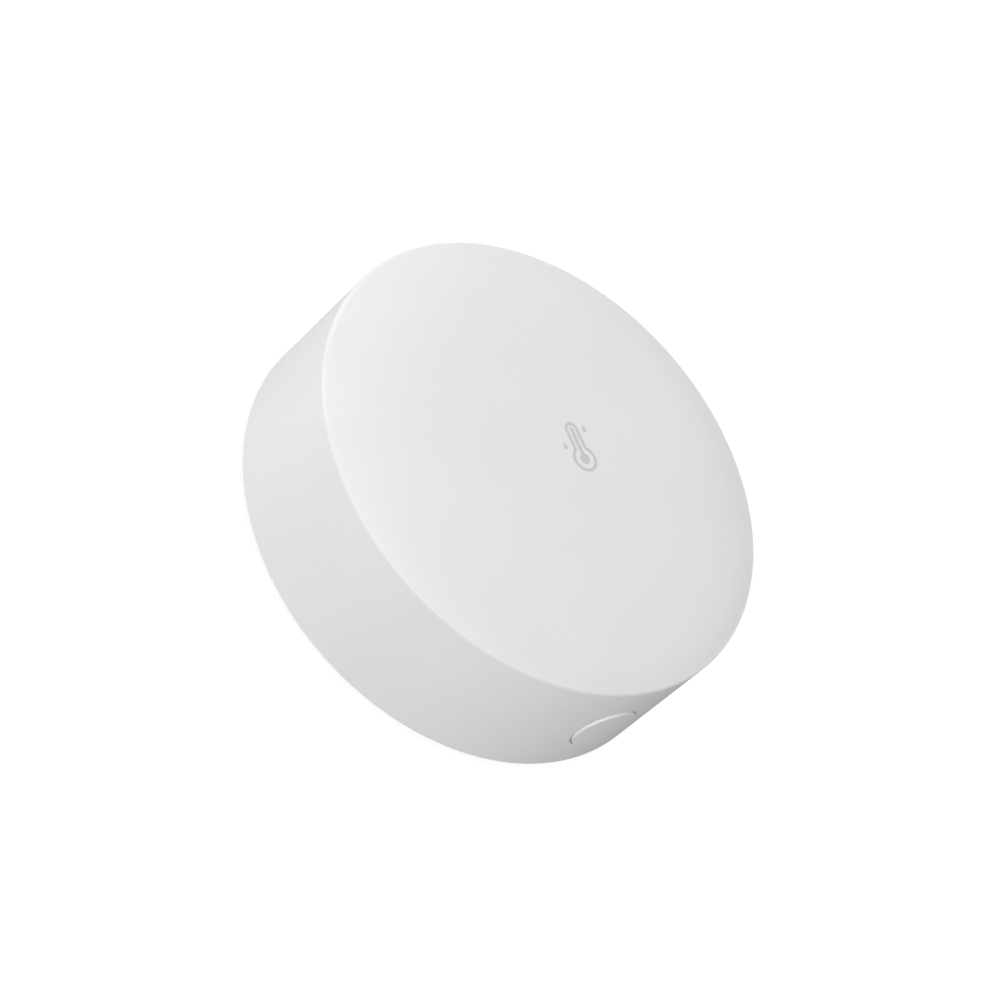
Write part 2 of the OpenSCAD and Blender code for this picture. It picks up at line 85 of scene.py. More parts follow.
# Openings in the wall: the button's hole and the air slots opposite
HOLE_R = 4.12 * MM
BLOCK = 20                  # rows and columns of wall faces that the button's hole takes up
ROW_H = 0.52 * MM
BLOCK_Z = BUTTON_Z - BLOCK / 2 * ROW_H
VENTS = 5
VENT_STEP = 5
VENT_W = 1.2 * MM
VENT_L = 6 * MM
VENT_Z = HEEL_Z + 9.6 * MM
VENT_ROWS = (5, 19)         # of the block's rings, the two that a slot lies between
VENT_COLUMNS = 4
VENT_ROUND = 18             # points around a slot's two round ends
PATCH_CUTS = 2
OPENING_EDGE = 0.05 * MM

# Button
BUTTON_R = 4 * MM
BUTTON_PROUD = 0.25 * MM
BUTTON_FACE = PUCK_R + BUTTON_PROUD
BUTTON_SIDES = 96
BUTTON_EDGE = 0.1 * MM
BUTTON_STEPS = 5            # faces across that rounding
BUTTON_RINGS = 8
FLANGE_T = 1 * MM
PUSHER_R = 1.5 * MM
PUSHER_L = 1.5 * MM

# Rear cover and foam pad
COVER_Z = HEEL_Z + 1.6 * MM
COVER_EDGE = 0.3 * MM
COVER_SIDES = 240
SEAT_R = PAD_R + 0.3 * MM
NAIL_R = (PAD_R + COVER_R) / 2
NAIL_L = 9 * MM
NAIL_W = 2.6 * MM
NAIL_DEEP = 0.7 * MM
NAIL_ROWS = 4
NAIL_COLUMNS = 18
NAIL_ROUND = 22
NAIL_EDGE = 0.15 * MM
PAD_SIDES = 180
PAD_EDGE = 0.08 * MM
PAD_WAIST = 0.05 * MM       # how far the cut foam draws in at half its height

# Printed mark: a thermometer and two drops, seen with the button below
MARK_X = 1.395 * MM
BULB_Y = -2.31 * MM
MARK_TOP = 2.54 * MM
BULB_R = 1.72 * MM
BULB_SIDES = 64
TUBE_R = 0.98 * MM
TUBE_CUTS = 12              # points along each straight side, so that the mark follows the face
CAP_SIDES = 32              # points around the ring that rounds a tube's top
LINE_W = 0.41 * MM
DOT_R = 0.71 * MM
COLUMN_R = 0.26 * MM
COLUMN_TOP = 1.89 * MM
DROP_R = 0.27 * MM
DROP_SIDES = 24
DROP_TIP = 0.4 * MM         # how far a drop's tip is drawn out of its ring
DROP_PULL = 1.6 * DROP_R    # how far from the tip the ring is drawn along
DROPS = [(3.285 * MM, 1.26 * MM), (-0.695 * MM, -0.585 * MM)]
INK_LIFT = 0.8 * INK_T

# Edges
SHARP = 1                   # an edge that turns by more radians than this is a corner
SMOOTH = math.radians(32)   # an edge that turns by less than this is shaded smooth
EDGE_STEPS = 3              # faces across a small rounding

# Finishes of the white plastic
WHITES = (0.81, 0.81, 0.81), (0.825, 0.825, 0.825)      # the plastic where it is darkest and palest
MATT_ROUGH = 0.8
POLISH_ROUGH = 0.35
POLISH_GLOSS = 0.3
SHELL_GRAIN = 0.12 * MM, 0.002 * MM     # width and depth of the mould's grain
BUTTON_GRAIN = 0.1 * MM, 0.0015 * MM

# Camera
AIM = Vector((-2.625, -0.954, 11.64)) * MM
DISTANCE = 465.2 * MM
AZIMUTH = math.radians(203.9)
ELEVATION = math.radians(42.95)
ROLL = math.radians(48.75)
LENS = 144
CLIP_START = 0.01

# Light
ROOM = 0.428                # brightness of the room all around
LAMP_DISTANCE = 0.7
LAMP_SIZE = 0.26
LAMPS = {                   # azimuth and elevation in degrees, and power
    "key": (195, 25, 2.42),
    "left": (122, 8, 1.38),
    "side": (90, 8, 1.05),
    "back": (18, 30, 1.83),
    "front": (270, 30, 0.76),
}
GLINTS = {"left", "side"}   # the lamps that glossy edges show
FLOOR_Z = -0.05 * MM
FLOOR_HALF = 3.0
FLOOR_GLOW = 0.86           # what the camera sees of the floor in full shadow
FLOOR_SHADE = 0.2           # what light adds to that
FLOOR_PAPER = 0.25          # how much light the floor throws back up


# Modelling


def begin(name, add, **size):
    """A new piece from a primitive, in edit mode, with its place in its mesh."""
    bpy.ops.object.select_all(action="DESELECT")
    add(**size)
    piece = bpy.context.active_object
    piece.name = name
    piece.data.name = name
    bpy.ops.object.transform_apply(location=True, rotation=True, scale=True)
    bpy.ops.object.mode_set(mode="EDIT")
    return piece


def pick(piece, kind, wanted):
    """Selects the verts, edges or faces that are wanted, and nothing else."""
    modes = {"verts": "VERT", "edges": "EDGE", "faces": "FACE"}
    bpy.ops.mesh.select_mode(type=modes[kind])
    bpy.ops.mesh.select_all(action="DESELECT")
    shape = bmesh.from_edit_mesh(piece.data)
    for element in getattr(shape, kind):
        if wanted(element):
            element.select_set(True)
    shape.select_flush_mode()
    bmesh.update_edit_mesh(piece.data)


def middle_of(edge):
    return (edge.verts[0].co + edge.verts[1].co) / 2


def radius_of(point):
    return math.hypot(point.x, point.y)


def turned_from(point, angle):
    """How many degrees the point lies from an angle about Z."""
    turn = math.degrees(math.atan2(point.y, point.x))
    return abs((turn - angle + 180) % 360 - 180)


def open_edge(edge):
    return len(edge.link_faces) < 2


def turn(name, profile, sides):
    """A turned piece about Z: a ring is drawn from each point (r, z) of the profile to the next one."""
    r, z = profile[0]
    piece = begin(
        name, bpy.ops.mesh.primitive_circle_add,
        vertices=sides, radius=r, fill_type="TRIFAN", location=(0, 0, z),
    )
    pick(piece, "edges", open_edge)
    for next_r, next_z in profile[1:]:
        bpy.ops.mesh.extrude_region_move(TRANSFORM_OT_translate={"value": (0, 0, next_z - z)})
        bpy.ops.transform.resize(value=(next_r / r, next_r / r, 1), center_override=(0, 0, 0))
        r, z = next_r, next_z
    bpy.ops.mesh.merge(type="CENTER")
    bpy.ops.mesh.select_all(action="SELECT")
    bpy.ops.mesh.normals_make_consistent(inside=False)
    return piece


def arc(middle, r, start, end, steps):
    """Points (r, z) of an arc about a middle, between two angles in degrees."""
    angles = [math.radians(start + (end - start) * i / steps) for i in range(steps + 1)]
    return [(middle[0] + r * math.cos(a), middle[1] + r * math.sin(a)) for a in angles]


def apply(piece, kind, **settings):
    """Adds a modifier with these settings and applies it."""
    modifier = piece.modifiers.new(kind.lower(), kind)
    for name, value in settings.items():
        setattr(modifier, name, value)
    bpy.ops.object.modifier_apply(modifier=modifier.name)


def cast_to_wall(piece, r, wanted):
    """Pushes the wanted points out or in to a round wall of radius r about Z."""
    group = piece.vertex_groups.new(name="wall")
    group.add([v.index for v in piece.data.vertices if wanted(v.co)], 1, "REPLACE")
    apply(
        piece, "CAST", cast_type="CYLINDER", factor=1, radius=0, size=r,
        use_radius_as_size=False, vertex_group=group.name,
    )
    piece.vertex_groups.clear()


def bevel_edges(piece, wanted, width, segments):
    bpy.ops.object.mode_set(mode="EDIT")
    pick(piece, "edges", wanted)
    bpy.ops.mesh.bevel(offset=width, segments=segments, affect="EDGES")
    bpy.ops.object.mode_set(mode="OBJECT")


def smooth(piece):
    bpy.ops.object.select_all(action="DESELECT")
    piece.select_set(True)
    bpy.context.view_layer.objects.active = piece
    bpy.ops.object.shade_smooth_by_angle(angle=SMOOTH)


def slot_outline(piece, spot, rotation, along, round_points, w, l, cuts):
    """A loose loop with two round ends in the edited piece: a ring whose halves move apart."""
    bpy.ops.mesh.primitive_circle_add(
        vertices=round_points, radius=w / 2, location=spot, rotation=rotation
    )
    for way in (1, -1):
        pick(piece, "verts", lambda v: not v.link_faces and way * (v.co - spot).dot(along) > 0)
        bpy.ops.transform.translate(value=along * way * (l - w) / 2)
    pick(piece, "edges", lambda e: not e.link_faces and e.calc_length() > (l - w) / 2)
    bpy.ops.mesh.subdivide(number_cuts=cuts)


# Housing


def face_z(r):
    q = r / PUCK_R
    return RIM_Z + DOME_H * (1 - CROWN * q ** 2 - (1 - CROWN) * q ** ROLL_POWER)


def housing_profile():
    """From the middle of the face's inside, down the bore, round the heel, up the wall, over the face."""
    rows = [BLOCK_Z + ROW_H * i for i in range(BLOCK + 1)]
    rows = [(HEEL_Z + BLOCK_Z) / 2, *rows, (rows[-1] + RIM_Z) / 2]
    slope = math.atan((2 * CROWN + ROLL_POWER * (1 - CROWN)) * DOME_H / PUCK_R)
    turn_r = PUCK_R - RIM_R
    meet_r = turn_r + RIM_R * math.sin(slope)
    turn_z = face_z(meet_r) - RIM_R * math.cos(slope)
    inside = [BORE_R * i / INNER_RINGS for i in range(1, INNER_RINGS + 1)]
    heel = arc((PUCK_R - HEEL_R, HEEL_Z + HEEL_R), HEEL_R, -90, 0, ROUND_STEPS)
    rim = arc((turn_r, turn_z), RIM_R, 0, 90 - math.degrees(slope), ROUND_STEPS)
    dome = [meet_r * math.sqrt(1 - i / DOME_RINGS) for i in range(1, DOME_RINGS)]
    face = [meet_r - HOLD, PUCK_R - POLISH_W, *dome, TIP_R]
    return [
        (TIP_R, face_z(TIP_R) - FACE_T),
        *[(r, face_z(r) - FACE_T) for r in inside],
        *[(BORE_R, z) for z in reversed(rows)],
        (BORE_R, HEEL_Z),
        (PUCK_R - HEEL_R - HOLD, HEEL_Z),
        *heel,
        (PUCK_R, HEEL_Z + HEEL_R + HOLD),
        *[(PUCK_R, z) for z in rows],
        (PUCK_R, RIM_Z - POLISH_W),
        (PUCK_R, turn_z - HOLD),
        *rim,
        *[(r, face_z(r)) for r in face],
    ]


def open_wall(shell, angle, half_turn, low, high, outline):
    """Opens the wall: on both of its sides the faces between two angles and heights give way to an
    outline, and the two outlines are joined through the wall."""
    for side_r in (PUCK_R, BORE_R):
        def on_side(point):
            return abs(radius_of(point) - side_r) < WALL_T / 2

        def in_block(face):
            point = face.calc_center_median()
            return on_side(point) and low < point.z < high and turned_from(point, angle) < half_turn

        pick(shell, "faces", in_block)
        bpy.ops.mesh.delete(type="FACE")
        outline(side_r)
        pick(shell, "edges", lambda e: open_edge(e) and on_side(middle_of(e)))
        bpy.ops.mesh.bridge_edge_loops(number_cuts=PATCH_CUTS, interpolation="LINEAR")
    pick(shell, "edges", open_edge)
    bpy.ops.mesh.bridge_edge_loops()


def housing_shell():
    shell = turn("housing_shell", housing_profile(), SIDES)

    def button_outline(side_r):
        spot = (0, -side_r, BUTTON_Z)
        widen = side_r / math.sqrt(side_r ** 2 - HOLE_R ** 2)
        bpy.ops.mesh.primitive_circle_add(
            vertices=4 * BLOCK, radius=HOLE_R, location=spot, rotation=(math.pi / 2, 0, 0)
        )
        bpy.ops.transform.resize(value=(widen, 1, 1), center_override=spot)

    column = 360 / SIDES
    open_wall(shell, -90, BLOCK / 2 * column, BLOCK_Z, BLOCK_Z + BLOCK * ROW_H, button_outline)
    rows = VENT_ROWS[1] - VENT_ROWS[0]
    cuts = VENT_COLUMNS + rows - VENT_ROUND // 2
    for i in range(VENTS):
        angle = 90 + (i - (VENTS - 1) / 2) * VENT_STEP

        def vent_outline(side_r):
            a = math.radians(angle)
            spot = Vector((side_r * math.cos(a), side_r * math.sin(a), VENT_Z))
            rotation = (math.pi / 2, 0, a + math.pi / 2)
            slot_outline(shell, spot, rotation, Vector((0, 0, 1)), VENT_ROUND, VENT_W, VENT_L, cuts)

        low, high = (BLOCK_Z + ROW_H * row for row in VENT_ROWS)
        open_wall(shell, angle, VENT_COLUMNS / 2 * column, low, high, vent_outline)
    bpy.ops.mesh.select_all(action="SELECT")
    bpy.ops.mesh.normals_make_consistent(inside=False)
    bpy.ops.object.mode_set(mode="OBJECT")

    def in_rows(point):
        return BLOCK_Z - ROW_H / 2 < point.z < BLOCK_Z + (BLOCK + 0.5) * ROW_H

    middle_r = PUCK_R - WALL_T / 2
    cast_to_wall(shell, PUCK_R, lambda p: in_rows(p) and radius_of(p) > middle_r)
    cast_to_wall(shell, BORE_R, lambda p: in_rows(p) and radius_of(p) < middle_r)

    def opening_edge(edge):
        point = middle_of(edge)
        outer = radius_of(point) > PUCK_R - OPENING_EDGE
        return outer and in_rows(point) and edge.calc_face_angle(0) > SHARP

    bevel_edges(shell, opening_edge, OPENING_EDGE, EDGE_STEPS)
    smooth(shell)
    return shell


# Button


def push_button():
    """Turned about Z with its face upwards, then laid along -Y, with its face cast to the wall's curve."""
    flange_back = PUSHER_TIP + PUSHER_L
    flange_front = flange_back + FLANGE_T
    rings = [BUTTON_R * (1 - i / BUTTON_RINGS) for i in range(1, BUTTON_RINGS)]
    cap = turn("push_button", [
        (TIP_R, PUSHER_TIP),
        (PUSHER_R, PUSHER_TIP),
        (PUSHER_R, flange_back),
        (FLANGE_R, flange_back),
        (FLANGE_R, flange_front),
        (BUTTON_R, flange_front),
        (BUTTON_R, BUTTON_FACE - WALL_T),
        (BUTTON_R, BUTTON_FACE),
        *[(r, BUTTON_FACE) for r in rings],
    ], BUTTON_SIDES)
    bpy.ops.object.mode_set(mode="OBJECT")
    cap.rotation_euler = (math.pi / 2, 0, 0)
    cap.location = (0, 0, BUTTON_Z)
    bpy.ops.object.transform_apply(location=True, rotation=True, scale=True)
    cast_to_wall(cap, BUTTON_FACE, lambda p: p.y < -BUTTON_FACE + BUTTON_EDGE)

    def face_edge(edge):
        return middle_of(edge).y < -PUCK_R + WALL_T and edge.calc_face_angle(0) > SHARP

    bevel_edges(cap, face_edge, BUTTON_EDGE, BUTTON_STEPS)
    smooth(cap)
    return cap


# Rear cover and pad


def cover_disc():
    row_w = (NAIL_W + COVER_R - SEAT_R) / 2 / NAIL_ROWS
    rows = [NAIL_R + row_w * (NAIL_ROWS / 2 - i) for i in range(NAIL_ROWS + 1)]
    disc = turn("cover_disc", [
        (TIP_R, COVER_Z),
        (COVER_R, COVER_Z),
        (COVER_R, HEEL_Z + COVER_EDGE),
        (COVER_R - COVER_EDGE, HEEL_Z),
        *[(r, HEEL_Z) for r in rows],
        (SEAT_R, HEEL_Z),
        (SEAT_R, PAD_TOP),
        (TIP_R, PAD_TOP),
    ], COVER_SIDES)
    half_turn = NAIL_COLUMNS / 2 * 360 / COVER_SIDES
    cuts = NAIL_COLUMNS + NAIL_ROWS - NAIL_ROUND // 2
    for way in (1, -1):
        angle = 90 - 90 * way

        def in_block(face):
            point = face.calc_center_median()
            flat = abs(point.z - HEEL_Z) < COVER_EDGE / 2
            in_rows = rows[-1] < radius_of(point) < rows[0]
            return flat and in_rows and turned_from(point, angle) < half_turn

        pick(disc, "faces", in_block)
        bpy.ops.mesh.delete(type="FACE")
        spot = Vector((NAIL_R * way, 0, HEEL_Z))
        quarter = (0, 0, math.pi / 2)
        slot_outline(disc, spot, quarter, Vector((0, 1, 0)), NAIL_ROUND, NAIL_W, NAIL_L, cuts)
        pick(disc, "edges", open_edge)
        bpy.ops.mesh.bridge_edge_loops(number_cuts=1, interpolation="LINEAR")
        pick(disc, "edges", open_edge)
        bpy.ops.mesh.extrude_region_move(TRANSFORM_OT_translate={"value": (0, 0, NAIL_DEEP)})
        bpy.ops.mesh.edge_face_add()
    bpy.ops.mesh.select_all(action="SELECT")
    bpy.ops.mesh.normals_make_consistent(inside=False)
    bpy.ops.object.mode_set(mode="OBJECT")

    def nail_edge(edge):
        point = middle_of(edge)
        flat = abs(point.z - HEEL_Z) < COVER_EDGE / 10
        return flat and SEAT_R < radius_of(point) < rows[0] and edge.calc_face_angle(0) > SHARP

    bevel_edges(disc, nail_edge, NAIL_EDGE, EDGE_STEPS)
    smooth(disc)
    return disc


def foam_pad():
    half = (pad_low.z + PAD_TOP) / 2
    pad = turn("foam_pad", [
        (TIP_R, PAD_TOP),
        (PAD_R / 2, PAD_TOP),
        (PAD_R - PAD_EDGE, PAD_TOP),
        (PAD_R, PAD_TOP - PAD_EDGE),
        (PAD_R - PAD_WAIST, half),
        (PAD_R, pad_low.z + PAD_EDGE),
        (PAD_R - PAD_EDGE, pad_low.z),
        (PAD_R / 2, pad_low.z),
        (TIP_R, pad_low.z),
    ], PAD_SIDES)
    bpy.ops.object.mode_set(mode="OBJECT")
    smooth(pad)
    return pad


# Printed mark


def keyhole(mark, bulb_r, tube_r, top):
    """Adds a face with a round bulb and a round-topped tube above it to the edited mark."""
    neck_y = BULB_Y + math.sqrt(bulb_r ** 2 - tube_r ** 2)
    cap_y = top - tube_r
    clear = LINE_W / 100
    step = 2 * math.pi / BULB_SIDES
    neck = math.ceil(math.asin(tube_r / bulb_r) / step) * step      # the bulb's first point below the tube

    def loose(v):
        return not v.link_faces

    def loose_end(v):
        return loose(v) and len(v.link_edges) == 1

    bpy.ops.mesh.primitive_circle_add(vertices=BULB_SIDES, radius=bulb_r, location=(MARK_X, BULB_Y, 0))
    pick(mark, "verts", lambda v: loose(v) and v.co.y > BULB_Y + bulb_r * math.cos(neck) + clear)
    bpy.ops.mesh.delete(type="VERT")
    pick(mark, "verts", loose_end)
    inward = tube_r / (bulb_r * math.sin(neck))
    bpy.ops.transform.resize(value=(inward, 0, 1), center_override=(MARK_X, neck_y, 0))
    bpy.ops.mesh.primitive_circle_add(vertices=CAP_SIDES, radius=tube_r, location=(MARK_X, cap_y, 0))
    pick(mark, "verts", lambda v: loose(v) and neck_y + clear < v.co.y < cap_y - clear)
    bpy.ops.mesh.delete(type="VERT")
    for way in (1, -1):
        pick(mark, "verts", lambda v: loose_end(v) and way * (v.co.x - MARK_X) > 0)
        bpy.ops.mesh.edge_face_add()
        bpy.ops.mesh.subdivide(number_cuts=TUBE_CUTS)
    pick(mark, "edges", lambda e: not e.link_faces)
    bpy.ops.mesh.edge_face_add()


def face_mark(shell):
    """The mark is drawn flat, laid on the housing's face and given the thickness of ink."""
    mark = begin(
        "face_mark", bpy.ops.mesh.primitive_circle_add,
        vertices=DROP_SIDES, radius=DROP_R, fill_type="NGON", location=(*DROPS[0], 0),
    )
    bpy.ops.mesh.primitive_circle_add(
        vertices=DROP_SIDES, radius=DROP_R, fill_type="NGON", location=(*DROPS[1], 0)
    )
    for x, y in DROPS:
        tip = Vector((x, y + DROP_R, 0))
        pick(mark, "verts", lambda v: (v.co - tip).length < DROP_R / 10)
        bpy.ops.transform.translate(
            value=(0, DROP_TIP, 0), use_proportional_edit=True, proportional_edit_falloff="SHARP",
            proportional_size=DROP_PULL, use_proportional_connected=True,
        )
    keyhole(mark, DOT_R, COLUMN_R, COLUMN_TOP)
    keyhole(mark, BULB_R, TUBE_R, MARK_TOP)
    bpy.ops.mesh.inset(thickness=LINE_W, use_even_offset=True)
    bpy.ops.mesh.delete(type="ONLY_FACE")
    pick(mark, "faces", lambda f: f.normal.z < 0)
    bpy.ops.mesh.flip_normals()
    bpy.ops.mesh.select_all(action="SELECT")
    bpy.ops.mesh.quads_convert_to_tris(quad_method="BEAUTY", ngon_method="BEAUTY")
    bpy.ops.transform.translate(value=(0, 0, APEX_Z + DOME_H))
    bpy.ops.object.mode_set(mode="OBJECT")
    apply(
        mark, "SHRINKWRAP", target=shell, wrap_method="PROJECT", use_project_z=True,
        use_negative_direction=True, use_positive_direction=False, offset=INK_LIFT,
    )
    apply(mark, "SOLIDIFY", thickness=2 * INK_T, offset=-1)
    smooth(mark)
    return mark


# Finishes


def begin_finish(name, metallic=0.0, gloss=0.5):
    """A new material, with its tree and its shader."""
    material = bpy.data.materials.new(name)
    material.use_nodes = True
    shader = material.node_tree.nodes["Principled BSDF"]
    shader.inputs["Metallic"].default_value = metallic
    shader.inputs["Specular IOR Level"].default_value = gloss
    return material, material.node_tree, shader


def add_node(tree, kind, inputs, **settings):
    """A shader node whose inputs take numbers, colours or other nodes' outputs."""
    made = tree.nodes.new("ShaderNode" + kind)
    for name, value in settings.items():
        setattr(made, name, value)
    for name, value in inputs.items():
        if isinstance(value, bpy.types.NodeSocket):
            tree.links.new(value, made.inputs[name])
        else:
            made.inputs[name].default_value = value
    return made


def place_on(tree, stretch=(1, 1, 1)):
    """The piece's own coordinates, in metres."""
    spot = add_node(tree, "TexCoord", {}).outputs["Object"]
    return add_node(tree, "Mapping", {"Vector": spot, "Scale": stretch}).outputs["Vector"]


def speckle(tree, size, detail=2.0, stretch=(1, 1, 1)):
    """Noise with spots of a given size, spread from 0 to 1."""
    noise = add_node(tree, "TexNoise", {
        "Vector": place_on(tree, stretch), "Scale": 1 / size, "Detail": detail,
    })
    return spread(tree, noise.outputs["Fac"], 0, 1, 0.3, 0.7)


def spread(tree, value, low, high, start=0.0, end=1.0):
    inputs = {"Value": value, "From Min": start, "From Max": end, "To Min": low, "To Max": high}
    return add_node(tree, "MapRange", inputs).outputs["Result"]


def shade(tree, factor, dark, light, start=0.0, end=1.0):
    """A colour between two, along a factor."""
    ramp = add_node(tree, "ValToRGB", {"Fac": factor})
    for stop, place, colour in zip(ramp.color_ramp.elements, (start, end), (dark, light)):
        stop.position = place
        stop.color = (*colour, 1)
    return ramp.outputs["Color"]


def emboss(tree, shader, height, depth):
    bump = add_node(tree, "Bump", {"Height": height, "Distance": depth})
    tree.links.new(bump.outputs["Normal"], shader.inputs["Normal"])


def moulded_plastic(name, dark, light, rough, grain, depth, gloss=0.5):
    """Moulded plastic: faintly cloudy in colour, with the fine grain that the mould's surface leaves."""
    material, tree, shader = begin_finish(name, gloss=gloss)
    clouds = speckle(tree, 9 * MM, 3)
    pits = speckle(tree, grain, 3)
    tree.links.new(shade(tree, clouds, dark, light), shader.inputs["Base Color"])
    tree.links.new(spread(tree, pits, rough - 0.04, rough + 0.04), shader.inputs["Roughness"])
    emboss(tree, shader, pits, depth)
    return material


def plated_metal(name, dark, light, rough, stretch=(1, 12, 12)):
    """Plated sheet: drawn lines along one direction and dull patches."""
    material, tree, shader = begin_finish(name, metallic=1.0)
    lines = speckle(tree, 0.8 * MM, 4, stretch)
    patches = speckle(tree, 2.5 * MM, 3)
    tree.links.new(shade(tree, lines, dark, light), shader.inputs["Base Color"])
    tree.links.new(spread(tree, patches, rough - 0.08, rough + 0.1), shader.inputs["Roughness"])
    emboss(tree, shader, lines, 0.004 * MM)
    return material


def cast_resin(name, dark, light, rough, grain):
    """Filled resin or fired ceramic: speckled with its filler, and slightly pitted."""
    material, tree, shader = begin_finish(name)
    filler = speckle(tree, grain, 5)
    tree.links.new(shade(tree, filler, dark, light, 0.2, 0.8), shader.inputs["Base Color"])
    tree.links.new(spread(tree, filler, rough - 0.06, rough + 0.06), shader.inputs["Roughness"])
    emboss(tree, shader, filler, 0.006 * MM)
    return material


def open_foam(name):
    """Cut foam: small round cells, with painted shade that darkens their hollows."""
    material, tree, shader = begin_finish(name)
    cells = add_node(tree, "TexVoronoi", {"Vector": place_on(tree), "Scale": 1 / (0.28 * MM)})
    pore_hollow_and_shade = spread(tree, cells.outputs["Distance"], 0, 1, 0.1, 0.7)
    blotch = speckle(tree, 4 * MM, 3)
    # painted shade: each cell's hollow gets a darker grey than its walls
    colour = add_node(tree, "Mix", {
        "Factor": pore_hollow_and_shade,
        6: shade(tree, blotch, (0.42, 0.42, 0.415), (0.48, 0.48, 0.475)),
        7: (0.64, 0.64, 0.63, 1),
    }, data_type="RGBA")
    tree.links.new(colour.outputs[2], shader.inputs["Base Color"])
    tree.links.new(spread(tree, pore_hollow_and_shade, 0.95, 0.8), shader.inputs["Roughness"])
    emboss(tree, shader, pore_hollow_and_shade, 0.06 * MM)
    return material


def printed_ink(name):
    """Pad-printed grey ink: evenly matt, with a slightly uneven film."""
    material, tree, shader = begin_finish(name, gloss=0)
    film = speckle(tree, 0.25 * MM, 3)
    tree.links.new(shade(tree, film, (0.6, 0.6, 0.6), (0.63, 0.63, 0.63)), shader.inputs["Base Color"])
    tree.links.new(spread(tree, film, 0.75, 0.85), shader.inputs["Roughness"])
    emboss(tree, shader, film, 0.002 * MM)
    return material


def solder_mask(name, dark, light):
    """Board laminate: glass cloth under green lacquer, with paler tracks and tinned spots."""
    material, tree, shader = begin_finish(name)
    cloth = add_node(tree, "TexChecker", {"Vector": place_on(tree), "Scale": 1 / (0.4 * MM)})
    lanes = add_node(tree, "TexBrick", {
        "Vector": place_on(tree), "Scale": 1 / (1.1 * MM), "Mortar Size": 0.1, "Mortar Smooth": 0.2,
    }, offset=0.35, squash=1.6)
    spots = add_node(tree, "TexVoronoi", {"Vector": place_on(tree), "Scale": 1 / (2.4 * MM)})
    tinned = spread(tree, spots.outputs["Distance"], 1, 0, 0.1, 0.13)
    track = shade(tree, lanes.outputs["Fac"], dark, light)
    colour = add_node(tree, "Mix", {
        "Factor": tinned, 6: track, 7: (0.72, 0.7, 0.62, 1),
    }, data_type="RGBA")
    tree.links.new(colour.outputs[2], shader.inputs["Base Color"])
    tree.links.new(tinned, shader.inputs["Metallic"])
    tree.links.new(spread(tree, cloth.outputs["Fac"], 0.3, 0.36), shader.inputs["Roughness"])
    emboss(tree, shader, lanes.outputs["Fac"], 0.02 * MM)
    return material


def cell_sleeve(name):
    """A cell's lacquered steel sleeve with paler bands, and bare bright ends."""
    material, tree, shader = begin_finish(name)
    along = add_node(tree, "SeparateXYZ", {"Vector": place_on(tree)}).outputs["X"]
    reach = add_node(tree, "Math", {0: along}, operation="ABSOLUTE").outputs[0]
    end = spread(tree, reach, 0, 1, CELL_END - 1.4 * MM, CELL_END - 1.3 * MM)
    band = spread(tree, reach, 0, 1, CELL_END - 8 * MM, CELL_END - 7.9 * MM)
    scuffs = speckle(tree, 1.2 * MM, 4, (1, 6, 6))
    sleeve = add_node(tree, "Mix", {
        "Factor": band,
        6: shade(tree, scuffs, (0.17, 0.19, 0.22), (0.23, 0.25, 0.28)),
        7: shade(tree, scuffs, (0.42, 0.45, 0.47), (0.5, 0.53, 0.55)),
    }, data_type="RGBA")
    colour = add_node(tree, "Mix", {
        "Factor": end, 6: sleeve.outputs[2], 7: (0.78, 0.77, 0.74, 1),
    }, data_type="RGBA")
    tree.links.new(colour.outputs[2], shader.inputs["Base Color"])
    tree.links.new(spread(tree, end, 0.35, 1), shader.inputs["Metallic"])
    tree.links.new(spread(tree, scuffs, 0.28, 0.4), shader.inputs["Roughness"])
    emboss(tree, shader, scuffs, 0.005 * MM)
    return material


def wear(piece, material):
    piece.data.materials.clear()
    piece.data.materials.append(material)


def polish_rim(shell, material):
    """A second finish on the faces around the housing's rim, where hands polish the plastic."""
    shell.data.materials.append(material)
    bpy.context.view_layer.objects.active = shell
    bpy.ops.object.mode_set(mode="EDIT")

    def on_rim(face):
        point = face.calc_center_median()
        return radius_of(point) > PUCK_R - POLISH_W and point.z > RIM_Z - POLISH_W

    pick(shell, "faces", on_rim)
    shell.active_material_index = 1
    bpy.ops.object.material_slot_assign()
    bpy.ops.object.mode_set(mode="OBJECT")


# Pieces

shell = housing_shell()
button = push_button()
cover = cover_disc()
pad = foam_pad()
mark = face_mark(shell)

shell_white = moulded_plastic("shell_white", *WHITES, MATT_ROUGH, *SHELL_GRAIN, gloss=0)
rim_white = moulded_plastic("rim_white", *WHITES, POLISH_ROUGH, *SHELL_GRAIN, gloss=POLISH_GLOSS)
button_white = moulded_plastic("button_white", *WHITES, MATT_ROUGH, *BUTTON_GRAIN, gloss=0)
wear(shell, shell_white)
polish_rim(shell, rim_white)
wear(cover, shell_white)
wear(button, button_white)
wear(pad, open_foam("pad_grey_foam"))
wear(mark, printed_ink("mark_ink"))

